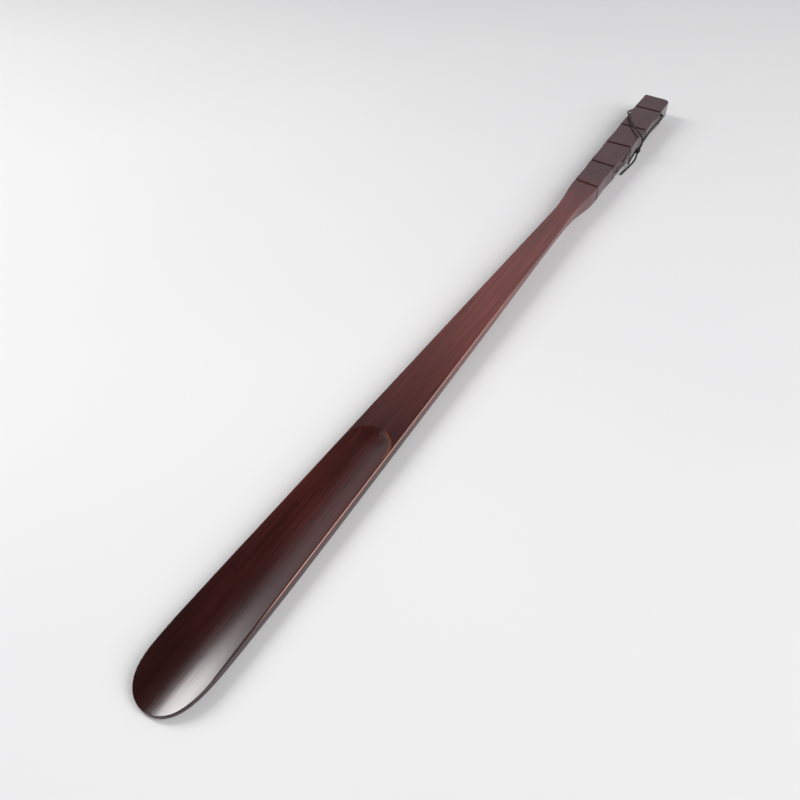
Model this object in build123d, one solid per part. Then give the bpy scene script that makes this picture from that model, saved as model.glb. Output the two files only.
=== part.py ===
from build123d import *
import math
import os

# A long shoehorn carved from one flat board of hardwood, with a cord loop through its handle.
# Units are millimetres. +Y runs from the blade's tip to the handle's end, +Z is up, and
# the shoehorn lies on Z = 0 with its scoop upwards. Stations along the body are measured
# from the tip, and the origin is under the middle of the length.
#
# The wood is carved with the board level, its underside at Z = 0. It is then laid down,
# tipped a little forwards, so that it rests on the back of the blade and on the front of
# the handle. The cord's points are given in the laid-down position.

# ---- driving dimensions: body ----
LENGTH = 700.0
BLADE_WIDTH = 39.2
NECK_WIDTH = 15.4
TAPER_EXPONENT = 1.1
BOARD_THICKNESS = 15.0
BLADE_THICKNESS = 7.8
SHAFT_THICKNESS = 6.4
WIDEST_AT = 42.0
NECK_AT = 478.0
HANDLE_FRONT_AT = 516.0
BLADE_REST_AT = 55.0
REST_FLAT_DEPTH = 0.25

# ---- driving dimensions: scoop ----
SCOOP_RADIUS = 48.0
SCOOP_DEPTH_AT_TIP = 4.0
SCOOP_DEPTH_AT_END = 2.15
SCOOP_END_AT = 192.0

# ---- driving dimensions: handle ----
# Each groove's station, and how much nearer the handle's end its right end is than its left end.
GROOVES = ((527.0, -1.5), (563.0, -0.5), (600.0, 1.5), (635.5, 1.0), (674.0, 0.8))
KNUCKLE_PITCH = 36.8
KNUCKLE_SWELL = 0.3
HANDLE_WIDTH_FRONT = 20.8
HANDLE_WIDTH_END = 25.0
HANDLE_LEAN = 2.0
GROOVE_WIDTH = 2.2
GROOVE_DEPTH = 1.0
END_LEFT_CORNER_RADIUS = 2.0
END_RIGHT_CORNER_RADIUS = 5.0
END_HEEL_RADIUS = 8.0

# ---- driving dimensions: cord ----
CORD_DIAMETER = 1.6
HOLE_DIAMETER = 3.2
HOLE_AT = 679.0
HOLE_HEIGHT = 12.05

MARGIN = 10.0


def along(station):
    """Y of a station that is measured from the tip."""
    return station - LENGTH / 2


def middle(station):
    """X of the centreline. It drifts a little to the left along the hand-carved handle."""
    share = max(station - NECK_AT, 0) / (LENGTH - NECK_AT)
    return -HANDLE_LEAN * (1 - (1 - share) ** 2.5)


def handle_half_width(station):
    """Half width of the handle, swelling at each groove."""
    first = GROOVES[0][0]
    share = (station - first) / (LENGTH - first)
    straight = HANDLE_WIDTH_FRONT + share * (HANDLE_WIDTH_END - HANDLE_WIDTH_FRONT)
    phase = 2 * math.pi * (station - first) / KNUCKLE_PITCH
    return straight / 2 + KNUCKLE_SWELL * math.cos(phase)


def plan_edge():
    """Half widths in plan, as (half width, station) pairs from the widest blade to the end."""
    widest = BLADE_WIDTH / 2
    neck = NECK_WIDTH / 2
    points = [(widest, WIDEST_AT)]
    for share in (0.2, 0.4, 0.6, 0.8):
        station = WIDEST_AT + share * (NECK_AT - WIDEST_AT)
        points.append((widest + (neck - widest) * share ** TAPER_EXPONENT, station))
    points.append((neck, NECK_AT))
    points.append((neck + 1.9, NECK_AT + 26))
    for step in range(2 * len(GROOVES)):
        station = GROOVES[0][0] + step * KNUCKLE_PITCH / 2
        points.append((handle_half_width(station), station))
    points.append((HANDLE_WIDTH_END / 2, LENGTH))
    return points


def plan_face():
    """The outline from above: a blunt rounded tip, a long taper, a neck and a knuckled handle."""
    edge = plan_edge()
    widest = BLADE_WIDTH / 2
    right = [(middle(s) + half, along(s)) for half, s in edge]
    left = [(middle(s) - half, along(s)) for half, s in reversed(edge)]
    tip = [
        (-widest, along(WIDEST_AT)),
        (-0.93 * widest, along(17.7)),
        (-0.64 * widest, along(5.3)),
        (0.0, along(0.0)),
        (0.64 * widest, along(5.3)),
        (0.93 * widest, along(17.7)),
        (widest, along(WIDEST_AT)),
    ]
    with BuildSketch() as sketch:
        with BuildLine():
            Spline(*tip, tangents=[(0, -1), (0, 1)])
            Spline(*right)
            Line(right[-1], left[0])
            Spline(*left)
        make_face()
        for place, radius in ((0, END_LEFT_CORNER_RADIUS), (-1, END_RIGHT_CORNER_RADIUS)):
            corner = sketch.vertices().group_by(Axis.Y)[-1].sort_by(Axis.X)[place]
            fillet(corner, radius)
    return sketch.sketch.face()


def side_face():
    """The outline from the side: nose, blade, thin shaft and full-thickness handle with a rounded heel."""
    back = [
        (along(-MARGIN), 8.9),
        (along(20.0), 7.8),
        (along(BLADE_REST_AT), BOARD_THICKNESS - BLADE_THICKNESS),
        (along(300.0), BOARD_THICKNESS - BLADE_THICKNESS),
        (along(374.0), 8.1),
        (along(440.0), BOARD_THICKNESS - SHAFT_THICKNESS),
        (along(466.0), 7.8),
        (along(485.0), 5.2),
        (along(500.0), 2.2),
        (along(HANDLE_FRONT_AT), 0.0),
    ]
    with BuildSketch(Plane.YZ) as sketch:
        with BuildLine():
            Spline(*back, tangents=[(1, -0.06), (1, 0)])
            Polyline(
                back[-1],
                (along(LENGTH), 0.0),
                (along(LENGTH), BOARD_THICKNESS),
                (along(-MARGIN), BOARD_THICKNESS),
                back[0],
            )
        make_face()
        heel = sketch.vertices().sort_by_distance((along(LENGTH), 0, 0))[0]
        fillet(heel, END_HEEL_RADIUS)
    return sketch.sketch.face()


def back_cutter():
    """What is carved from the back of the blade's tip, so that it is spoon-shaped."""
    # station, height under the middle, height under the edges
    shape = [
        (-MARGIN, 8.4, 12.6),
        (20.0, 7.9, 12.0),
        (50.0, 7.2, 10.0),
        (85.0, 6.6, 8.0),
        (120.0, 6.0, 6.8),
    ]
    half = BLADE_WIDTH / 2 + 2
    floor = -MARGIN
    sections = []
    for station, middle, edge in shape:
        with BuildSketch(Plane.XZ.offset(-along(station))) as sketch:
            with BuildLine():
                ThreePointArc((-half, edge), (0, middle), (half, edge))
                Polyline((half, edge), (half, floor), (-half, floor), (-half, edge))
            make_face()
        sections.append(sketch.sketch.face())
    return loft(sections)


def scoop_cutter():
    """A long round-ended trough: a cylinder along the blade with a ball at its upper end."""
    level = BOARD_THICKNESS + SCOOP_RADIUS
    end = Vector(0, along(SCOOP_END_AT), level - SCOOP_DEPTH_AT_END)
    tip = Vector(0, along(0.0), level - SCOOP_DEPTH_AT_TIP)
    direction = (tip - end).normalized()
    reach = (tip - end).length + MARGIN
    trough = Solid.make_cylinder(SCOOP_RADIUS, reach, Plane(origin=end, z_dir=direction))
    ball = Solid.make_sphere(SCOOP_RADIUS, Plane(origin=end), -90, 90, 360)
    return trough + ball


def v_groove(plane, mouth_a, bottom, mouth_b, length):
    """A V-shaped cutter: a triangle drawn on a plane and drawn out along its normal."""
    with BuildSketch(plane) as sketch:
        with BuildLine():
            Polyline(mouth_a, bottom, mouth_b, close=True)
        make_face()
    return extrude(sketch.sketch, length)


def groove_cutter(half):
    """One V groove across the top of the handle and down both sides, centred on the origin."""
    spare = 1.0
    mouth = GROOVE_WIDTH / 2 * (GROOVE_DEPTH + spare) / GROOVE_DEPTH
    above = BOARD_THICKNESS + spare
    across = Plane.YZ.offset(-half - spare)
    bottom = (0, BOARD_THICKNESS - GROOVE_DEPTH)
    cutter = v_groove(across, (-mouth, above), bottom, (mouth, above), 2 * (half + spare))
    for side in (-1, 1):
        beyond = side * (half + spare)
        bottom = (side * (half - GROOVE_DEPTH), 0)
        cutter = cutter + v_groove(Plane.XY, (beyond, -mouth), bottom, (beyond, mouth), above)
    return cutter


def groove_cutters():
    """The cutters of all the grooves, each turned a little as it was filed by hand."""
    cutters = []
    for station, skew in GROOVES:
        half = handle_half_width(station)
        turn = math.degrees(math.atan(skew / (2 * half)))
        cutters.append(Pos(middle(station), along(station), 0) * Rot(Z=turn) * groove_cutter(half))
    return cutters


def carved_board():
    """The wood in the level board: outline, profile, spoon-shaped back, scoop and grooves."""
    body = extrude(plan_face(), BOARD_THICKNESS) & extrude(side_face(), BLADE_WIDTH, both=True)
    body = body - back_cutter()
    body = body - scoop_cutter()
    for cutter in groove_cutters():
        body = body - cutter
    return body


def carved_wood_body():
    """The carved wood laid down on its two rest points, with worn flats there and the cord's hole."""
    rise = BOARD_THICKNESS - BLADE_THICKNESS
    tilt = math.degrees(math.atan(rise / (HANDLE_FRONT_AT - BLADE_REST_AT)))
    tipped = Rot(X=tilt) * carved_board()
    box = tipped.bounding_box()
    body = Pos(0, -box.center().Y, -box.min.Z - REST_FLAT_DEPTH) * tipped
    below = Pos(0, 0, -MARGIN / 2) * Box(2 * BLADE_WIDTH, 2 * LENGTH, MARGIN)
    drill_start = Plane(origin=(-BLADE_WIDTH, along(HOLE_AT), HOLE_HEIGHT), z_dir=(1, 0, 0))
    drill = Solid.make_cylinder(HOLE_DIAMETER / 2, 2 * BLADE_WIDTH, drill_start)
    return body - below - drill


def cord_route(*points):
    """Turns (x, station, height) points into points of the model."""
    return [Vector(x, along(station), height) for x, station, height in points]


# The loop starts in the knot, crosses the top of the handle, goes through the hole from
# left to right, and comes back along the right side to the knot.
LOOP_ROUTE = cord_route(
    (15.0, 608.9, 11.85),
    (15.8, 611.4, 14.5),
    (14.6, 615.0, 17.7),
    (10.8, 619.6, 19.1),
    (5.4, 625.2, 18.9),
    (-0.4, 632.2, 18.4),
    (-6.0, 640.2, 18.4),
    (-10.7, 647.6, 18.8),
    (-14.2, 653.6, 18.4),
    (-15.9, 659.8, 16.4),
    (-16.1, 666.2, 14.2),
    (-15.8, 672.2, 12.8),
    (-15.7, 675.3, 12.2),
    (-15.7, HOLE_AT, HOLE_HEIGHT),
    (12.2, HOLE_AT, HOLE_HEIGHT),
    (12.2, 675.6, 12.1),
    (12.9, 671.3, 12.3),
    (12.8, 663.4, 12.6),
    (12.2, 653.6, 12.9),
    (12.3, 642.8, 13.0),
    (12.5, 631.8, 12.1),
    (13.3, 620.7, 11.2),
    (13.6, 609.9, 9.75),
)
LONG_TAIL_ROUTE = cord_route(
    (14.6, 606.3, 9.95),
    (15.8, 602.1, 6.6),
    (15.0, 597.4, 3.4),
    (13.5, 591.3, 1.6),
    (12.6, 584.6, 0.92),
    (12.1, 578.0, 0.85),
)
SHORT_TAIL_ROUTE = cord_route(
    (12.9, 605.9, 9.25),
    (12.5, 601.5, 7.65),
    (12.1, 597.1, 5.5),
    (12.1, 593.3, 3.4),
)
KNOT_CENTRE = Vector(14.3, along(607.3), 10.25)
KNOT_RADIUS = 2.3
KNOT_LENGTH = 6.0


def corner_radii(route):
    """The largest arcs that the runs on each side of every corner leave room for."""
    radii = []
    for before, corner, after in zip(route, route[1:], route[2:]):
        incoming = corner - before
        outgoing = after - corner
        half_turn = math.radians(incoming.get_angle(outgoing)) / 2
        radii.append(0.45 * min(incoming.length, outgoing.length) / math.tan(half_turn))
    return radii


def cord_tube(name, route):
    """A round cord along straight runs joined by tangent arcs."""
    radii = corner_radii(route)
    path = FilletPolyline(*route, radius=radii)
    start = Plane(origin=path @ 0, z_dir=path % 0)
    tube = sweep(start * Circle(CORD_DIAMETER / 2), path=path, transition=Transition.RIGHT)
    section = math.pi * CORD_DIAMETER ** 2 / 4
    print(name, "length", round(path.length, 1), "volume / (section x length)",
          round(tube.volume / (section * path.length), 4), "lowest", round(tube.bounding_box().min.Z, 3))
    print("   radii", [round(radius, 1) for radius in radii])
    return tube


def cord_knot():
    """The outer shape of the knot that ties the cord's two ends together."""
    barrel = Cylinder(KNOT_RADIUS, KNOT_LENGTH)
    barrel = fillet(barrel.edges().filter_by(GeomType.CIRCLE), 0.9 * KNOT_RADIUS)
    return Location(KNOT_CENTRE, (90, 0, 0)) * barrel


def export_parts():
    """Writes every piece to its own file."""
    pieces = {
        "carved_wood_body": carved_wood_body(),
        "hanging_cord_loop": cord_tube("hanging_cord_loop", LOOP_ROUTE),
        "cord_knot": cord_knot(),
        "long_cord_tail": cord_tube("long_cord_tail", LONG_TAIL_ROUTE),
        "short_cord_tail": cord_tube("short_cord_tail", SHORT_TAIL_ROUTE),
    }
    os.makedirs("parts", exist_ok=True)
    for name, piece in pieces.items():
        export_step(piece, f"parts/{name}.step")


export_parts()
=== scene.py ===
import bmesh
import bpy
import math
import numpy as np
from mathutils import Matrix, Vector


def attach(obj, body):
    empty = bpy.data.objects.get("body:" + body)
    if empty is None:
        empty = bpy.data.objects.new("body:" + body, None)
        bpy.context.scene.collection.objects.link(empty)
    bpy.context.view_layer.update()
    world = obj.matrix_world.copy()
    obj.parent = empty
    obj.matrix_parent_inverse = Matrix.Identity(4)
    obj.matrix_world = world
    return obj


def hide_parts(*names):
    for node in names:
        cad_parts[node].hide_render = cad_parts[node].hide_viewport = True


# Looks for the long wooden shoehorn. The wood is worked out in millimetres in the level
# board, as it is carved, and then laid down and turned into metres. Stations run along the
# body from the blade's tip to the handle's end. The cords' routes are also written in
# millimetres. The camera, the floor and the lights are in metres.

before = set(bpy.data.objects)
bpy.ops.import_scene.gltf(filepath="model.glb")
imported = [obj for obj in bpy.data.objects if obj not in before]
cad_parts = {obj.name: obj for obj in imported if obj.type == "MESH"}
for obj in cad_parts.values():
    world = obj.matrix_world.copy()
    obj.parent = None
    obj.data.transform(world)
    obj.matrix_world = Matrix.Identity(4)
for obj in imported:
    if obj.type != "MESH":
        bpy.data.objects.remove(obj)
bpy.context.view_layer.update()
MM = 0.001

# ---- the wood's dimensions, in millimetres ----
LENGTH = 700.0
BLADE_HALF = 19.57
NECK_HALF = 7.7
HANDLE_HALF_FRONT = 10.4
HANDLE_HALF_END = 12.5
HANDLE_LEAN = 2.0
BOARD = 15.0
BLADE_THICKNESS = 7.8
WIDEST_AT = 42.0
NECK_AT = 478.0
HANDLE_FRONT_AT = 516.0
BLADE_REST_AT = 55.0
REST_FLAT_DEPTH = 0.25
SCOOP_RADIUS = 48.0
SCOOP_DEPTH_AT_TIP = 4.0
SCOOP_DEPTH_AT_END = 2.15
SCOOP_END_AT = 192.0
SCOOP_FAR_AT = 206.2
GROOVES_AT = (527.0, 563.0, 600.0, 635.5, 674.0)
GROOVE_SKEWS = (-1.5, -0.5, 1.5, 1.0, 0.8)
KNUCKLE_PITCH = 36.8
KNUCKLE_SWELL = 0.3
KNUCKLE_CROWN = 0.5
GROOVE_HALF_WIDTH = 1.25
GROOVE_DEPTH = 1.0
END_LEFT_CORNER_RADIUS = 2.0
END_RIGHT_CORNER_RADIUS = 5.0
END_HEEL_RADIUS = 8.0
HOLE_AT = 679.0
HOLE_HEIGHT = 12.05
HOLE_RADIUS = 1.6
TOP_EDGE_ROUNDING = 0.42
LOW_EDGE_ROUNDING = 0.6
SCOOP_RIM_SOFTNESS = 0.22
BACK_SOFTNESS = 0.4
GROOVE_SHARPNESS = 1.15
TIP_BLUNTNESS = 3.6
TIP_ROUNDNESS = 2.1
FIT_INSIDE_CAD = 0.9999

# ---- the wood mesh's columns ----
INNER_COUNT = 53
OUTER_COUNT = 6
TOP_COUNT = INNER_COUNT + 2 * OUTER_COUNT
LOW_COUNT = 41
EDGE_STEPS = 6
WIDEST_RIM_SHARE = 0.955

# ---- the cord's thickness, in metres ----
CORD = 0.0016


def along(station):
    """Y in metres of a station in millimetres."""
    return (station - LENGTH / 2) * MM


# ---- camera ----

def make_camera():
    """The camera looks down along the shoehorn from beyond its tip, a little to the right."""
    position = Vector((0.19184, -0.43626, 0.39482))
    azimuth, elevation, roll = (math.radians(angle) for angle in (31.239, 45.818, 0.675))
    data = bpy.data.cameras.new("camera")
    data.sensor_width = 36.0
    data.lens = 38.25
    camera = bpy.data.objects.new("camera", data)
    bpy.context.scene.collection.objects.link(camera)
    turn = (
        Matrix.Rotation(azimuth, 4, "Z")
        @ Matrix.Rotation(math.pi / 2 - elevation, 4, "X")
        @ Matrix.Rotation(roll, 4, "Z")
    )
    camera.matrix_world = Matrix.Translation(position) @ turn
    bpy.context.scene.camera = camera


# ---- node helpers ----

def new_material(name):
    """A material with an empty node tree apart from its shader and output."""
    material = bpy.data.materials.new(name)
    material.use_nodes = True
    nodes = material.node_tree.nodes
    nodes.clear()
    output = nodes.new("ShaderNodeOutputMaterial")
    shader = nodes.new("ShaderNodeBsdfPrincipled")
    material.node_tree.links.new(shader.outputs["BSDF"], output.inputs["Surface"])
    return material, shader


def add_node(material, kind, **settings):
    """A node with its properties and its input values set by name."""
    node = material.node_tree.nodes.new(kind)
    for key, value in settings.items():
        if hasattr(node, key):
            setattr(node, key, value)
        else:
            node.inputs[key.replace("_", " ").title()].default_value = value
    return node


def join(material, source, target):
    """Links an output socket to an input socket."""
    material.node_tree.links.new(source, target)


def stretched_noise(material, coordinates, stretch, scale, detail=4.0, distortion=0.0):
    """Noise that is drawn out along one axis, for grain. Gives its value, from 0 to 1."""
    mapping = add_node(material, "ShaderNodeMapping")
    mapping.inputs["Scale"].default_value = stretch
    join(material, coordinates, mapping.inputs["Vector"])
    texture = add_node(material, "ShaderNodeTexNoise", scale=scale, detail=detail, distortion=distortion)
    join(material, mapping.outputs["Vector"], texture.inputs["Vector"])
    return texture.outputs["Fac"]


def ramp(material, value, *stops):
    """A colour ramp over (position, colour) stops. Colours are linear RGB."""
    node = add_node(material, "ShaderNodeValToRGB")
    elements = node.color_ramp.elements
    while len(elements) < len(stops):
        elements.new(0.5)
    for element, (position, colour) in zip(elements, stops):
        element.position = position
        element.color = (*colour, 1.0)
    join(material, value, node.inputs["Fac"])
    return node.outputs["Color"]


def remap(material, value, low, high, to_low, to_high):
    """A value mapped smoothly from one range to another."""
    node = add_node(material, "ShaderNodeMapRange")
    node.interpolation_type = "SMOOTHSTEP"
    for index, number in enumerate((low, high, to_low, to_high), start=1):
        node.inputs[index].default_value = number
    join(material, value, node.inputs[0])
    return node.outputs[0]


def arithmetic(material, operation, first, second):
    """A Math node on two values, each a socket or a number."""
    node = add_node(material, "ShaderNodeMath", operation=operation)
    for index, value in enumerate((first, second)):
        if isinstance(value, (int, float)):
            node.inputs[index].default_value = value
        else:
            join(material, value, node.inputs[index])
    return node.outputs[0]


def mix_colour(material, factor, first, second, blend="MIX"):
    """Mixes two colours, each a socket or a linear RGB tuple."""
    node = add_node(material, "ShaderNodeMix", data_type="RGBA", blend_type=blend)
    sockets = (node.inputs[0], node.inputs[6], node.inputs[7])
    for socket, value in zip(sockets, (factor, first, second)):
        if isinstance(value, tuple):
            socket.default_value = (*value, 1.0)
        elif isinstance(value, (int, float)):
            socket.default_value = value
        else:
            join(material, value, socket)
    return node.outputs[2]


def vertex_value(material, name):
    """A value that the mesh carries on its points."""
    node = add_node(material, "ShaderNodeAttribute", attribute_name=name)
    return node.outputs["Fac"]


def bump(material, height, distance, strength):
    """A bump from a height socket. Gives the normal."""
    node = add_node(material, "ShaderNodeBump")
    node.inputs["Strength"].default_value = strength
    node.inputs["Distance"].default_value = distance
    join(material, height, node.inputs["Height"])
    return node.outputs["Normal"]


# ---- cords ----

def route(*points):
    """Turns (x, station, height) points in millimetres into points in metres."""
    return [Vector((x * MM, along(station), height * MM)) for x, station, height in points]


LOOP_ROUTE = route(
    (15.0, 608.9, 11.85),
    (15.8, 611.4, 14.5),
    (14.6, 615.0, 17.7),
    (10.8, 619.6, 19.1),
    (5.4, 625.2, 18.9),
    (-0.4, 632.2, 18.4),
    (-6.0, 640.2, 18.4),
    (-10.7, 647.6, 18.8),
    (-14.2, 653.6, 18.4),
    (-15.9, 659.8, 16.4),
    (-16.1, 666.2, 14.2),
    (-15.8, 672.2, 12.8),
    (-15.7, 675.3, 12.2),
    (-15.7, HOLE_AT, HOLE_HEIGHT),
    (12.2, HOLE_AT, HOLE_HEIGHT),
    (12.2, 675.6, 12.1),
    (12.9, 671.3, 12.3),
    (12.8, 663.4, 12.6),
    (12.2, 653.6, 12.9),
    (12.3, 642.8, 13.0),
    (12.5, 631.8, 12.1),
    (13.3, 620.7, 11.2),
    (13.6, 609.9, 9.75),
)
LONG_TAIL_ROUTE = route(
    (14.6, 606.3, 9.95),
    (15.8, 602.1, 6.6),
    (15.0, 597.4, 3.4),
    (13.5, 591.3, 1.6),
    (12.6, 584.6, 0.92),
    (12.1, 578.0, 0.85),
)
SHORT_TAIL_ROUTE = route(
    (12.9, 605.9, 9.25),
    (12.5, 601.5, 7.65),
    (12.1, 597.1, 5.5),
    (12.1, 593.3, 3.4),
)
KNOT_CENTRE = Vector((14.3 * MM, along(607.3), 10.25 * MM))


def cord_curve(name, points, thickness):
    """A round cord as a smooth NURBS curve with the route's points as its control points."""
    data = bpy.data.curves.new(name, "CURVE")
    data.dimensions = "3D"
    spline = data.splines.new("NURBS")
    spline.points.add(len(points) - 1)
    for point, place in zip(spline.points, points):
        point.co = (*place, 1.0)
    spline.order_u = 3
    spline.use_endpoint_u = True
    data.resolution_u = 10
    data.bevel_depth = thickness / 2
    data.bevel_resolution = 5
    data.use_fill_caps = True
    piece = bpy.data.objects.new(name, data)
    bpy.context.scene.collection.objects.link(piece)
    return piece


def spline_points(points):
    """Points along the smooth line of a route, read from its NURBS spline."""
    line = cord_curve("line", points, 0.0)
    mesh = bpy.data.meshes.new_from_object(line)
    found = [vertex.co.copy() for vertex in mesh.vertices]
    bpy.data.objects.remove(line)
    return found


def line_length(points):
    """The length of a line through points."""
    return sum((b - a).length for a, b in zip(points, points[1:]))


def make_cords(material):
    """The loop, its knot and the two tails."""
    loop = cord_curve("cord_loop", LOOP_ROUTE, CORD)
    long_tail = cord_curve("cord_long_tail", LONG_TAIL_ROUTE, CORD)
    short_tail = cord_curve("cord_short_tail", SHORT_TAIL_ROUTE, CORD)
    knot = tied_knot()
    pieces = {
        "hanging_cord_loop": loop,
        "long_cord_tail": long_tail,
        "short_cord_tail": short_tail,
        "cord_knot": knot,
    }
    for node, piece in pieces.items():
        piece.data.materials.append(material)
        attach(piece, "cord")
        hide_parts(node)
    line_length(spline_points(LOOP_ROUTE))
    line_length(spline_points(LONG_TAIL_ROUTE))


def tied_knot():
    """The knot: the cord wound 2.6 times round its own two strands and pulled tight."""
    turns = 2.6
    steps = 72
    radius = 1.45 * MM
    half_length = 2.0 * MM
    points = []
    for step in range(steps + 1):
        share = step / steps
        angle = 2 * math.pi * turns * share
        squeeze = 1.0 - 0.12 * (2 * share - 1) ** 2
        x = radius * squeeze * math.cos(angle)
        y = half_length * (1 - 2 * share)
        z = radius * squeeze * math.sin(angle)
        points.append(KNOT_CENTRE + Vector((x, y, z)))
    return cord_curve("cord_knot_turns", points, CORD * 0.98)


# ---- the wood's shape ----

def smooth_share(value, low, high):
    """0 below low, 1 above high, and smooth between."""
    share = np.clip((value - low) / (high - low), 0.0, 1.0)
    return share * share * (3 - 2 * share)


def smaller_of(first, second, softness):
    """The smaller of two values, with the corner between them rounded off."""
    gap = np.clip(softness - np.abs(first - second), 0.0, None)
    return np.minimum(first, second) - gap * gap / (4 * softness)


def groove_profile(stations):
    """How deep the handle's V grooves are at each station, from 0 to 1, with softened lips."""
    depth = np.zeros_like(stations)
    for at in GROOVES_AT:
        distance = np.abs(stations - at) / GROOVE_HALF_WIDTH
        depth = np.maximum(depth, np.clip(1 - distance, 0, 1) ** GROOVE_SHARPNESS)
    return depth


def knuckle_crown(stations):
    """How much lower the handle's top is near a groove than in the middle of a knuckle."""
    nearest = np.min([np.abs(stations - at) for at in GROOVES_AT], axis=0)
    return KNUCKLE_CROWN * np.clip(1 - nearest / (KNUCKLE_PITCH / 2), 0.0, 1.0) ** 2


def middle(stations):
    """How far the centreline drifts to the left along the hand-carved handle."""
    share = np.clip((stations - NECK_AT) / (LENGTH - NECK_AT), 0.0, 1.0)
    return -HANDLE_LEAN * (1 - (1 - share) ** 2.5)


def groove_skew(stations):
    """How much nearer the handle's end the right edge of a row is than its left edge."""
    known_at = (505.0,) + GROOVES_AT + (690.0,)
    return np.interp(stations, known_at, (0.0,) + GROOVE_SKEWS + (0.0,))


def half_width(stations):
    """Half width of the uncut outline: blunt tip, long taper, neck and knuckled handle."""
    tip_share = np.clip(stations / WIDEST_AT, 0.0, 1.0)
    tip = BLADE_HALF * (1 - (1 - tip_share) ** TIP_BLUNTNESS) ** (1 / TIP_ROUNDNESS)
    share = np.clip((stations - WIDEST_AT) / (NECK_AT - WIDEST_AT), 0.0, None)
    taper = BLADE_HALF + (NECK_HALF - BLADE_HALF) * share ** 1.1
    first = GROOVES_AT[0]
    along_handle = np.clip((stations - first) / (LENGTH - first), 0.0, 1.0)
    phase = 2 * math.pi * np.clip(stations - first, 0.0, None) / KNUCKLE_PITCH
    handle = HANDLE_HALF_FRONT + (HANDLE_HALF_END - HANDLE_HALF_FRONT) * along_handle
    handle = handle + KNUCKLE_SWELL * np.cos(phase)
    blade = np.where(stations < WIDEST_AT, tip, taper)
    return blade + (handle - blade) * smooth_share(stations, NECK_AT - 2, first)


def scoop_depth(stations):
    """Depth of the scoop's trough line below the board's top."""
    share = np.clip(stations / SCOOP_END_AT, 0.0, 1.0)
    return SCOOP_DEPTH_AT_TIP + (SCOOP_DEPTH_AT_END - SCOOP_DEPTH_AT_TIP) * share


def scoop_half_width(station):
    """Half width of the scoop where it meets the board's top."""
    depth = float(scoop_depth(np.array(station)))
    return math.sqrt(SCOOP_RADIUS ** 2 - (SCOOP_RADIUS - depth) ** 2)


def scoop_height(x, stations):
    """Height of the scoop's surface, before it meets the board's top."""
    beyond = np.clip(stations - SCOOP_END_AT, 0.0, None)
    inside = np.clip(SCOOP_RADIUS ** 2 - x ** 2 - beyond ** 2, 1.0, None)
    return BOARD - scoop_depth(stations) + SCOOP_RADIUS - np.sqrt(inside)


def top_height(x, stations):
    """Height of the finished top: the flat board, the scoop and the grooves."""
    top = smaller_of(np.full_like(x, BOARD), scoop_height(x, stations), SCOOP_RIM_SOFTNESS)
    return top - GROOVE_DEPTH * groove_profile(stations) - knuckle_crown(stations)


def profile_height(stations):
    """Height of the back along the middle, as seen from the side."""
    blade_and_shaft = [(-10.0, 8.9), (20.0, 7.8), (55.0, 7.2), (300.0, 7.2), (340.0, 7.5), (374.0, 8.1)]
    neck = [(410.0, 8.55), (440.0, 8.6), (458.0, 8.25), (466.0, 7.8)]
    step_to_handle = [(485.0, 5.2), (500.0, 2.2), (508.0, 0.75), (HANDLE_FRONT_AT, 0.0)]
    known_at, known = zip(*blade_and_shaft, *neck, *step_to_handle)
    fine = np.arange(-40.0, LENGTH + 60.0, 1.0)
    heights = np.interp(fine, known_at, known)
    window = np.hanning(23)
    heights = np.convolve(heights, window / window.sum(), mode="same")
    return np.interp(stations, fine, heights)


def back_height(x, stations):
    """Height of the back: its side profile, a spoon shape at the tip and a rounded heel."""
    known_at = [0.0, 20.0, 50.0, 85.0, 120.0]
    keel = np.interp(stations, known_at, [8.2, 7.9, 7.2, 6.6, 6.0])
    edge = np.interp(stations, known_at, [12.4, 12.0, 10.0, 8.0, 6.8])
    spoon = keel + (edge - keel) * (x / (BLADE_HALF + 2)) ** 2
    into_heel = np.clip(stations - (LENGTH - END_HEEL_RADIUS), 0.0, END_HEEL_RADIUS)
    heel = END_HEEL_RADIUS - np.sqrt(END_HEEL_RADIUS ** 2 - into_heel ** 2)
    back = -smaller_of(-profile_height(stations), -spoon, BACK_SOFTNESS)
    return np.maximum(np.where(stations < 150.0, back, profile_height(stations)), heel)


def outline_stations():
    """Stations of the rows, closer together at the tip, the scoop's end and the grooves."""
    tip = WIDEST_AT * np.linspace(0.0, 1.0, 44) ** 2.4
    blade = np.arange(WIDEST_AT + 1.6, SCOOP_END_AT - 3, 1.6)
    scoop_end = np.arange(SCOOP_END_AT - 3, SCOOP_FAR_AT + 2, 0.4)
    shaft = np.arange(SCOOP_FAR_AT + 3, 470.0, 3.0)
    handle = np.arange(470.0, LENGTH - END_RIGHT_CORNER_RADIUS, 1.5)
    near_groove = np.concatenate([[-1.6], np.linspace(-1.25, 1.25, 11), [1.6]])
    for at in GROOVES_AT:
        handle = handle[np.abs(handle - at) > 2.1]
        handle = np.append(handle, at + near_groove)
    return np.concatenate([tip, blade, scoop_end, shaft, np.sort(handle)])


def outline(corner_radius):
    """One side's points from the tip round to the end's corner, and their inward normals."""
    stations = outline_stations()
    stations = np.append(stations[:-1], LENGTH - corner_radius)
    widths = half_width(stations) - GROOVE_DEPTH * groove_profile(stations)
    turn = np.linspace(0.0, math.pi / 2, 13)[1:]
    x = np.concatenate([widths, widths[-1] - corner_radius * (1 - np.cos(turn))])
    s = np.concatenate([stations, LENGTH - corner_radius * (1 - np.sin(turn))])
    tangent_x = np.gradient(x)
    tangent_s = np.gradient(s)
    tangent_x[0], tangent_s[0] = 1.0, 0.0
    tangent_x[-1], tangent_s[-1] = -1.0, 0.0
    length = np.hypot(tangent_x, tangent_s)
    return np.stack([x, s, -tangent_s / length, tangent_x / length], axis=1)


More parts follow.
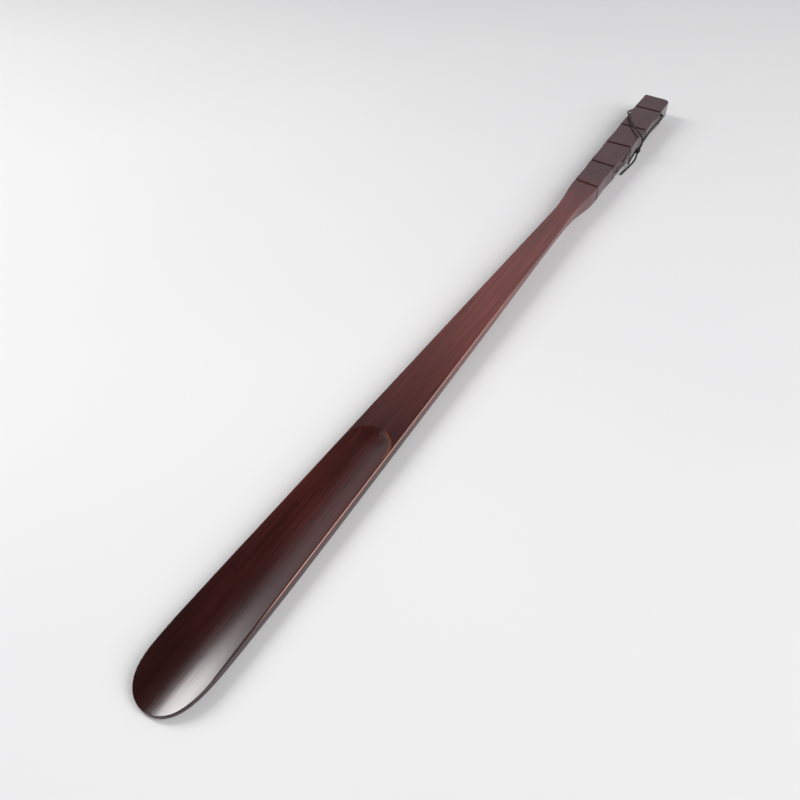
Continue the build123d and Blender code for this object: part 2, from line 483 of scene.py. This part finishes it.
def column_shares(rim):
    """Places of the columns across the top, from -1 to 1, crowded towards the scoop's rim."""
    reach = 0.43 * math.pi
    inner = np.sin(np.linspace(-reach, reach, INNER_COUNT)) / math.sin(reach)
    outer = np.linspace(rim, 1.0, OUTER_COUNT + 1)[1:]
    return np.concatenate([-outer[::-1], inner * rim, outer])


def rim_share(station, reach):
    """Where the scoop's rim is across the top, as a share of the way to the edge."""
    at = min(station, SCOOP_END_AT)
    return min(scoop_half_width(at) / max(reach, 1e-6), WIDEST_RIM_SHARE)


def edge_radii(point):
    """Rounding of the top and bottom edges at an outline point, less where the wood is thin."""
    x, s = point[0], point[1]
    thickness = float(top_height(x, s) - back_height(x, s))
    handle = smooth_share(s, 480.0, 520.0)
    behind_tip = smooth_share(s, 5.0, 90.0)
    heel = smooth_share(s, LENGTH - 9.0, LENGTH)
    top = TOP_EDGE_ROUNDING + 0.6 * handle
    bottom = LOW_EDGE_ROUNDING + 0.7 * behind_tip + 0.5 * handle - 1.2 * heel
    return min(top, 0.3 * thickness), min(bottom, 0.45 * thickness)


def inset_point(point, inset):
    """A point of the outline moved inwards, but not past the middle."""
    return np.array([max(point[0] + point[2] * inset, 0.0), point[1] + point[3] * inset])


def side_points(point, top_z, low_z, radii):
    """One side of a row from the top to the bottom, with its two edges rounded."""
    top_radius, low_radius = radii
    upper = top_z - top_radius
    lower = low_z + low_radius
    places = []
    for angle in np.linspace(0.0, math.pi / 2, EDGE_STEPS)[1:]:
        places.append((top_radius * (1 - math.sin(angle)), upper + top_radius * math.cos(angle)))
    for share in (0.25, 0.5, 0.75):
        places.append((0.0, upper + (lower - upper) * share))
    for angle in np.linspace(0.0, math.pi / 2, EDGE_STEPS)[:-1]:
        places.append((low_radius * (1 - math.cos(angle)), lower - low_radius * math.sin(angle)))
    return [(*inset_point(point, inset), z) for inset, z in places]


def carved_wood_row(left, right):
    """A closed ring of points round the body, in the level board: its top, right, back and left."""
    left_radii, right_radii = edge_radii(left), edge_radii(right)
    top_left, top_right = inset_point(left, left_radii[0]), inset_point(right, right_radii[0])
    low_left, low_right = inset_point(left, left_radii[1]), inset_point(right, right_radii[1])
    shares = column_shares(rim_share(right[1], top_right[0]))
    across = (shares + 1) / 2
    top_x = -top_left[0] + (top_right[0] + top_left[0]) * across
    top_s = top_left[1] + (top_right[1] - top_left[1]) * across
    top_z = top_height(top_x, top_s)
    across = np.linspace(1.0, 0.0, LOW_COUNT)
    low_x = -low_left[0] + (low_right[0] + low_left[0]) * across
    low_s = low_left[1] + (low_right[1] - low_left[1]) * across
    low_z = back_height(low_x, low_s)
    right_side = side_points(right, top_z[-1], low_z[0], right_radii)
    left_side = reversed(side_points(left, top_z[0], low_z[-1], left_radii))
    left_side = [(-x, s, z) for x, s, z in left_side]
    return list(zip(top_x, top_s, top_z)) + right_side + list(zip(low_x, low_s, low_z)) + left_side


def hand_carved(points):
    """The handle's drift to the left and its slightly turned grooves."""
    x, s, z = points[:, 0], points[:, 1], points[:, 2]
    turned = s + groove_skew(s) * x / (2 * half_width(s) + 1e-6) * (s > NECK_AT)
    return np.stack([x + middle(s), turned, z], axis=1)


def lay_down(points):
    """Tips the level board onto its two rest points, centres it and wears it flat where it rests."""
    tilt = math.atan((BOARD - BLADE_THICKNESS) / (HANDLE_FRONT_AT - BLADE_REST_AT))
    y = (points[:, 1] - LENGTH / 2) * FIT_INSIDE_CAD
    z = points[:, 2]
    laid = points.copy()
    laid[:, 1] = y * math.cos(tilt) - z * math.sin(tilt)
    laid[:, 2] = y * math.sin(tilt) + z * math.cos(tilt)
    laid[:, 1] -= (laid[:, 1].max() + laid[:, 1].min()) / 2
    laid[:, 2] -= laid[:, 2].min() + REST_FLAT_DEPTH
    laid[:, 2] = np.maximum(laid[:, 2], 0.0)
    return laid * MM


def carved_wood_mesh():
    """The body as one closed mesh: rings of quads, and a grid over the end."""
    rows = [
        carved_wood_row(left, right)
        for left, right in zip(outline(END_LEFT_CORNER_RADIUS), outline(END_RIGHT_CORNER_RADIUS))
    ]
    ring = len(rows[0])
    faces = []
    for i in range(len(rows) - 1):
        for j in range(ring):
            k = (j + 1) % ring
            faces.append((i * ring + j, i * ring + k, (i + 1) * ring + k, (i + 1) * ring + j))
    last = (len(rows) - 1) * ring
    side_count = (ring - TOP_COUNT - LOW_COUNT) // 2
    end = rows[-1]
    points = [point for row in rows for point in row]
    lines = [[last + j for j in range(TOP_COUNT)]]
    for k in range(side_count):
        left, right = np.array(end[ring - 1 - k]), np.array(end[TOP_COUNT + k])
        line = [last + ring - 1 - k]
        for j in range(1, TOP_COUNT - 1):
            share = (end[j][0] - end[0][0]) / (end[TOP_COUNT - 1][0] - end[0][0])
            line.append(len(points))
            points.append(tuple(left + (right - left) * share))
        lines.append(line + [last + TOP_COUNT + k])
    for upper, lower in zip(lines, lines[1:]):
        for j in range(TOP_COUNT - 1):
            faces.append((upper[j], upper[j + 1], lower[j + 1], lower[j]))
    first_low = last + TOP_COUNT + side_count
    faces.append(tuple(lines[-1]) + tuple(range(first_low, first_low + LOW_COUNT)))
    return np.array(points), faces


def cut_cord_hole(body):
    """Drills the cross hole for the cord."""
    centre = (0.0, along(HOLE_AT), HOLE_HEIGHT * MM)
    data = bmesh.new()
    bmesh.ops.create_cone(
        data,
        cap_ends=True,
        segments=32,
        radius1=HOLE_RADIUS * MM,
        radius2=HOLE_RADIUS * MM,
        depth=4 * HANDLE_HALF_END * MM,
        matrix=Matrix.Translation(centre) @ Matrix.Rotation(math.pi / 2, 4, "Y"),
    )
    mesh = bpy.data.meshes.new("hole_cutter")
    data.to_mesh(mesh)
    data.free()
    cutter = bpy.data.objects.new("hole_cutter", mesh)
    bpy.context.scene.collection.objects.link(cutter)
    modifier = body.modifiers.new("hole", "BOOLEAN")
    modifier.operation = "DIFFERENCE"
    modifier.solver = "EXACT"
    modifier.object = cutter
    apply_modifiers(body)
    bpy.data.objects.remove(cutter)


def apply_modifiers(piece):
    """Makes the mesh what its modifiers make of it."""
    depsgraph = bpy.context.evaluated_depsgraph_get()
    mesh = bpy.data.meshes.new_from_object(piece.evaluated_get(depsgraph))
    piece.modifiers.clear()
    piece.data = mesh


def make_body(material):
    """The carved wooden body with rounded edges."""
    vertices, faces = carved_wood_mesh()
    painted_and_worn_marks = wear_and_painted_light_marks(vertices)
    laid = lay_down(hand_carved(vertices))
    mesh = bpy.data.meshes.new("carved_wood")
    mesh.from_pydata([tuple(place) for place in laid], [], faces)
    body = bpy.data.objects.new("carved_wood", mesh)
    bpy.context.scene.collection.objects.link(body)
    for name, values in painted_and_worn_marks.items():
        attribute = mesh.attributes.new(name, "FLOAT", "POINT")
        attribute.data.foreach_set("value", values.astype(np.float32))
    clean = bmesh.new()
    clean.from_mesh(mesh)
    bmesh.ops.remove_doubles(clean, verts=clean.verts[:], dist=2e-6)
    bmesh.ops.dissolve_degenerate(clean, edges=clean.edges[:], dist=1e-6)
    bmesh.ops.recalc_face_normals(clean, faces=clean.faces[:])
    clean.to_mesh(mesh)
    clean.free()
    cut_cord_hole(body)
    mesh = body.data
    mesh.shade_smooth()
    mesh.set_sharp_from_angle(angle=math.radians(38))
    mesh.materials.clear()
    mesh.materials.append(material)
    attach(body, "shoehorn")
    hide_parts("carved_wood_body")
    return body


def wear_and_painted_light_marks(points):
    """Values that the material reads at a point: a pale painted highlight, with some wear, on a top
    edge, a painted glint on the scoop's far rim, and depth in a groove, which the grooves' painted shade
    follows."""
    x, s, z = points[:, 0], points[:, 1], points[:, 2]
    near_side = np.exp((np.abs(x) - half_width(s)) / 0.7)
    near_top = np.exp(-np.abs(BOARD - z) / 0.5)
    # Where along each top edge the pale painted highlight falls, with some wear: the right edge from
    # behind the tip to the neck, the left only along the blade.
    right = smooth_share(s, 30.0, 90.0) * (1 - 0.75 * smooth_share(s, 300.0, 480.0))
    left = 0.75 * smooth_share(s, 70.0, 110.0) * (1 - smooth_share(s, 190.0, 230.0))
    edge_highlight_and_wear = np.where(x > 0, right, left)
    # The scoop's far rim gets a painted glint on its right half.
    near_rim = np.exp(-np.abs(scoop_height(x, s) - BOARD) / SCOOP_RIM_SOFTNESS)
    rim = near_rim * smooth_share(s, SCOOP_END_AT - 12.0, SCOOP_END_AT)
    return {
        "edge": np.clip(near_side * near_top * edge_highlight_and_wear, 0, 1),
        "rim": rim * smooth_share(x, -1.0, 6.0) * near_top,
        "groove": groove_profile(s) * (z > 0.3),
    }


# ---- materials ----

def tone_and_painted_light_by_length(material, coordinates):
    """The colour from the tip to the end, partly the stain's own and partly painted light: painted shade
    makes it darkest in the scoop's hollow, the shaft is reddest, and the handle's plum grey stands in
    for its sheen.
    """
    split = add_node(material, "ShaderNodeSeparateXYZ")
    join(material, coordinates, split.inputs[0])
    share = arithmetic(material, "DIVIDE", split.outputs["Y"], LENGTH * MM)
    share = arithmetic(material, "ADD", share, 0.5)
    return ramp(
        material,
        share,
        (0.05, (0.024, 0.0046, 0.0044)),
        (0.20, (0.046, 0.0080, 0.0066)),
        (0.29, (0.036, 0.0070, 0.0058)),
        (0.36, (0.072, 0.0125, 0.0105)),
        (0.50, (0.140, 0.0270, 0.0220)),
        (0.68, (0.110, 0.0200, 0.0185)),
        (0.78, (0.044, 0.0125, 0.0145)),
    )


def lacquered_wood():
    """Dark red-brown lacquered hardwood, with fine grain along the shoehorn."""
    material, shader = new_material("lacquered_wood")
    coordinates = add_node(material, "ShaderNodeTexCoord").outputs["Object"]
    streaks = stretched_noise(material, coordinates, (1.0, 0.03, 1.0), 520.0, 6.0, 0.4)
    fibres = stretched_noise(material, coordinates, (1.0, 0.02, 1.0), 1700.0, 3.0)
    clouds = stretched_noise(material, coordinates, (1.0, 0.12, 1.0), 48.0, 3.0, 0.6)
    grain = ramp(
        material,
        streaks,
        (0.28, (0.70, 0.66, 0.66)),
        (0.5, (1.0, 1.0, 1.0)),
        (0.75, (1.4, 1.5, 1.45)),
    )
    cloudy = ramp(material, clouds, (0.3, (0.80, 0.78, 0.78)), (0.7, (1.2, 1.2, 1.2)))
    # The tone along the length, partly stain and partly painted shade and sheen, under the grain.
    colour = mix_colour(material, 1.0, tone_and_painted_light_by_length(material, coordinates), grain, "MULTIPLY")
    colour = mix_colour(material, 1.0, colour, cloudy, "MULTIPLY")
    # Pale pink painted highlight along the top edges, with some wear.
    edge_highlight_and_wear = remap(material, vertex_value(material, "edge"), 0.25, 0.85, 0.0, 0.85)
    colour = mix_colour(material, edge_highlight_and_wear, colour, (0.78, 0.42, 0.34))
    # Orange-brown painted glint on the scoop's far rim.
    painted_rim_glint = remap(material, vertex_value(material, "rim"), 0.2, 0.9, 0.0, 0.8)
    colour = mix_colour(material, painted_rim_glint, colour, (0.24, 0.060, 0.018))
    # Near-black painted shade in the handle's grooves.
    painted_groove_shade = remap(material, vertex_value(material, "groove"), 0.1, 0.8, 0.0, 0.7)
    colour = mix_colour(material, painted_groove_shade, colour, (0.006, 0.003, 0.0025))
    join(material, colour, shader.inputs["Base Color"])
    rough = remap(material, clouds, 0.25, 0.75, 0.18, 0.26)
    join(material, rough, shader.inputs["Roughness"])
    shader.inputs["Coat Weight"].default_value = 0.25
    shader.inputs["Coat Roughness"].default_value = 0.16
    height = arithmetic(material, "ADD", streaks, arithmetic(material, "MULTIPLY", fibres, 0.35))
    join(material, bump(material, height, 0.00012, 0.5), shader.inputs["Normal"])
    return material


def waxed_cord():
    """Thin dark waxed cord with a fine fibrous bump."""
    material, shader = new_material("waxed_cord")
    coordinates = add_node(material, "ShaderNodeTexCoord").outputs["Object"]
    fibres = stretched_noise(material, coordinates, (1.0, 1.0, 1.0), 2600.0, 3.0, 0.5)
    colour = ramp(material, fibres, (0.3, (0.006, 0.0035, 0.0035)), (0.75, (0.020, 0.012, 0.012)))
    join(material, colour, shader.inputs["Base Color"])
    shader.inputs["Roughness"].default_value = 0.5
    shader.inputs["Specular IOR Level"].default_value = 0.35
    join(material, bump(material, fibres, 0.0002, 0.5), shader.inputs["Normal"])
    return material


def floor_material():
    """A plain pale studio floor, a little uneven."""
    material, shader = new_material("pale_floor")
    coordinates = add_node(material, "ShaderNodeTexCoord").outputs["Object"]
    mottle = stretched_noise(material, coordinates, (1.0, 1.0, 1.0), 3.0, 2.0)
    colour = ramp(material, mottle, (0.3, (0.81, 0.81, 0.815)), (0.7, (0.84, 0.84, 0.84)))
    join(material, colour, shader.inputs["Base Color"])
    shader.inputs["Roughness"].default_value = 0.75
    return material


# ---- floor and light ----

def make_floor():
    """A large pale floor under the shoehorn."""
    mesh = bpy.data.meshes.new("floor")
    reach = 6.0
    corners = [(-reach, -reach, 0), (reach, -reach, 0), (reach, reach, 0), (-reach, reach, 0)]
    mesh.from_pydata(corners, [], [(0, 1, 2, 3)])
    floor = bpy.data.objects.new("floor", mesh)
    bpy.context.scene.collection.objects.link(floor)
    mesh.materials.append(floor_material())


def area_light(name, position, target, size, power, spread, colour):
    """A soft rectangular light that faces a target. Its spread is in degrees."""
    data = bpy.data.lights.new(name, "AREA")
    data.shape = "RECTANGLE"
    data.size, data.size_y = size
    data.energy = power
    data.spread = math.radians(spread)
    data.color = colour
    lamp = bpy.data.objects.new(name, data)
    bpy.context.scene.collection.objects.link(lamp)
    turn = (Vector(target) - Vector(position)).to_track_quat("-Z", "Y")
    lamp.matrix_world = Matrix.Translation(position) @ turn.to_matrix().to_4x4()


def make_light():
    """Soft lights from both sides, and a surrounding whose grey changes with height."""
    area_light(
        "left_softbox",
        position=(-1.4, -0.13, 1.05),
        target=(0.0, -0.3, 0.0),
        size=(0.45, 1.0),
        power=5.0,
        spread=90.0,
        colour=(1.0, 0.985, 0.975),
    )
    area_light(
        "right_softbox",
        position=(1.9, 0.2, 1.5),
        target=(0.0, 0.0, 0.0),
        size=(2.0, 2.0),
        power=44.0,
        spread=180.0,
        colour=(1.0, 0.99, 0.99),
    )
    world = bpy.data.worlds.new("studio")
    bpy.context.scene.world = world
    world.use_nodes = True
    nodes, links = world.node_tree.nodes, world.node_tree.links
    background = nodes["Background"]
    coordinates = nodes.new("ShaderNodeTexCoord")
    split = nodes.new("ShaderNodeSeparateXYZ")
    fade = nodes.new("ShaderNodeValToRGB")
    stops = [
        (0.0, (0.88, 0.88, 0.90)),
        (0.30, (0.46, 0.46, 0.48)),
        (0.44, (0.40, 0.39, 0.42)),
        (0.60, (0.78, 0.78, 0.80)),
        (0.66, (0.60, 0.60, 0.62)),
        (0.71, (0.40, 0.40, 0.41)),
        (0.79, (0.10, 0.10, 0.10)),
        (1.0, (0.03, 0.03, 0.03)),
    ]
    while len(fade.color_ramp.elements) < len(stops):
        fade.color_ramp.elements.new(0.5)
    for element, (position, colour) in zip(fade.color_ramp.elements, stops):
        element.position = position
        element.color = (*colour, 1.0)
    links.new(coordinates.outputs["Generated"], split.inputs[0])
    links.new(split.outputs["Z"], fade.inputs["Fac"])
    links.new(fade.outputs["Color"], background.inputs["Color"])
    background.inputs["Strength"].default_value = 1.0


bpy.context.scene.view_settings.view_transform = "Standard"
make_camera()
make_cords(waxed_cord())
make_body(lacquered_wood())
make_floor()
make_light()
